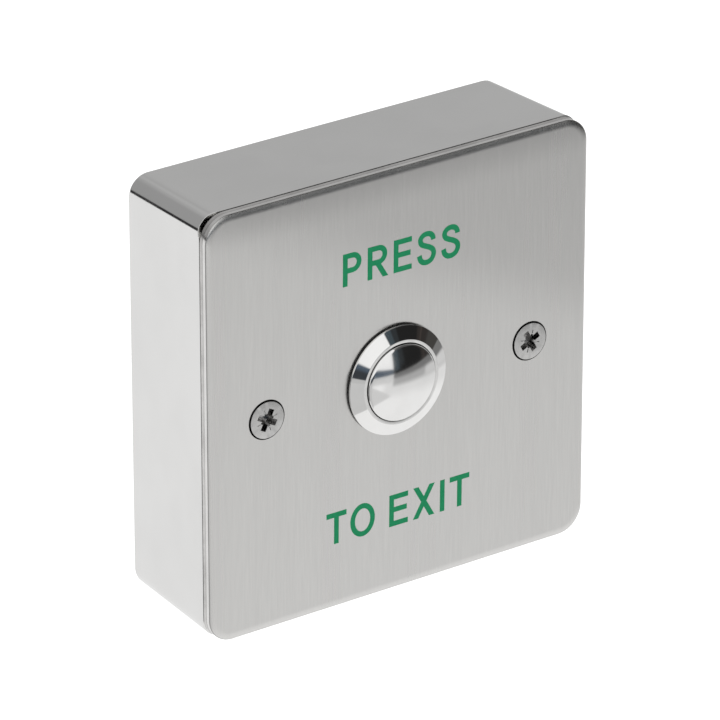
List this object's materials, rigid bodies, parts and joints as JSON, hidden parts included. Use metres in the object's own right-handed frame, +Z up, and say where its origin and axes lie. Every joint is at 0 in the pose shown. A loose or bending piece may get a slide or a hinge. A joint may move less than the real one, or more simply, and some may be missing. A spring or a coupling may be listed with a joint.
{
  "type": "door exit button",
  "caption": "Square brushed steel plate with a sprung metal push button, screwed to a polished surface box for a wall beside a door.",
  "frame": {"origin": "middle of the back of the box, on the wall", "axes": "+Y points into the wall, +Z is up, and the button faces -Y"},
  "size_m": [0.0864, 0.031, 0.0864],
  "materials": {
    "brushed_plate": "satin stainless steel with an upright grain",
    "polished_box": "polished steel, a little cloudy",
    "polished_button": "mirror polished stainless steel",
    "screw_steel": "turned stainless steel",
    "plated_steel": "zinc plated",
    "spring_steel": "bright drawn wire",
    "brass": "turned",
    "black_rubber": "matt",
    "black_plastic": "moulded",
    "ivory_plastic": "moulded",
    "legend_enamel": "green paint fill"
  },
  "bodies": {
    "root": {"back_box": "polished_box", "fixing_lug_left": "plated_steel", "fixing_lug_right": "plated_steel", "cable_grommet": "black_rubber", "earth_pillar": "brass", "earth_screw": "brass", "face_plate": "brushed_plate", "plate_screw_left": "screw_steel", "plate_screw_right": "screw_steel", "button_housing": "polished_button", "panel_seal": "black_rubber", "lock_washer": "plated_steel", "lock_nut": "plated_steel", "return_spring": "spring_steel", "switch_base": "black_plastic", "fixed_contact_left": "brass", "fixed_contact_right": "brass", "clamp_washer_left": "plated_steel", "clamp_washer_right": "plated_steel", "terminal_screw_left": "plated_steel", "terminal_screw_right": "plated_steel"},
    "button": {"button_cap": "polished_button", "cap_seal": "black_rubber", "plunger": "ivory_plastic", "moving_contact": "brass", "retaining_clip": "spring_steel"}
  },
  "joints": [
    {"name": "button_press", "type": "slide", "parent": "root", "child": "button", "axis": [0, 1, 0], "range_m": [0, 0.0016], "stiffness_N_per_m": 800, "springref_m": -0.002, "deforming": ["return_spring"]}
  ]
}
